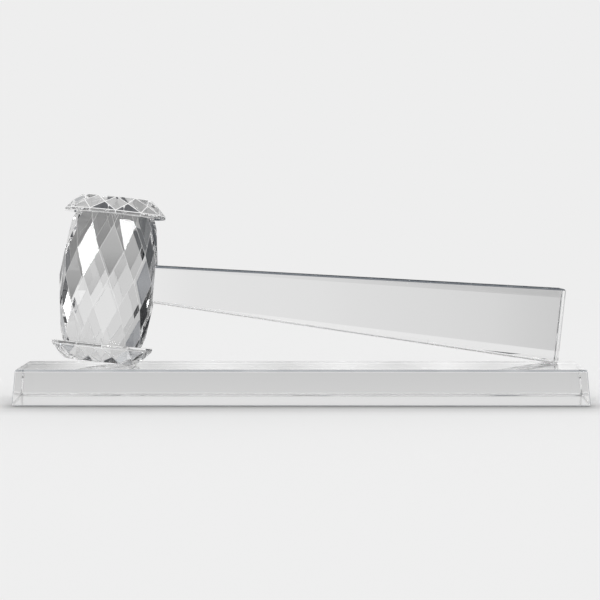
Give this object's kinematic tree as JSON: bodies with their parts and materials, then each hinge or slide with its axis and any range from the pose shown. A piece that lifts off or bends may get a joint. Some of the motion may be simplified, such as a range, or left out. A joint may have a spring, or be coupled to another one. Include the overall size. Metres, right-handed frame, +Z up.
{
  "type": "ceremonial gavel",
  "caption": "Clear cut-crystal gavel with a faceted barrel head and flaring bar handle, lying on a long low crystal base.",
  "frame": {"origin": "middle of the base's underside", "axes": "+X along the base towards the handle's butt, +Y to the back, +Z up"},
  "size_m": [0.3048, 0.0634, 0.1114],
  "materials": {
    "base_crystal": "cut and polished, colourless",
    "head_crystal": "cut and polished, colourless",
    "handle_crystal": "cut and polished, colourless",
    "clear_adhesive": "clear cured adhesive"
  },
  "bodies": {
    "base": {"base_slab": "base_crystal"},
    "gavel": {"head_barrel": "head_crystal", "end_disc_upper": "head_crystal", "end_disc_lower": "head_crystal", "handle": "handle_crystal", "bond_disc_upper": "clear_adhesive", "bond_disc_lower": "clear_adhesive", "bond_handle": "clear_adhesive"}
  },
  "joints": [
    {"name": "gavel_lift", "type": "slide", "parent": "base", "child": "gavel", "axis": [0, 0, 1], "range_m": [0, 0.1]}
  ]
}
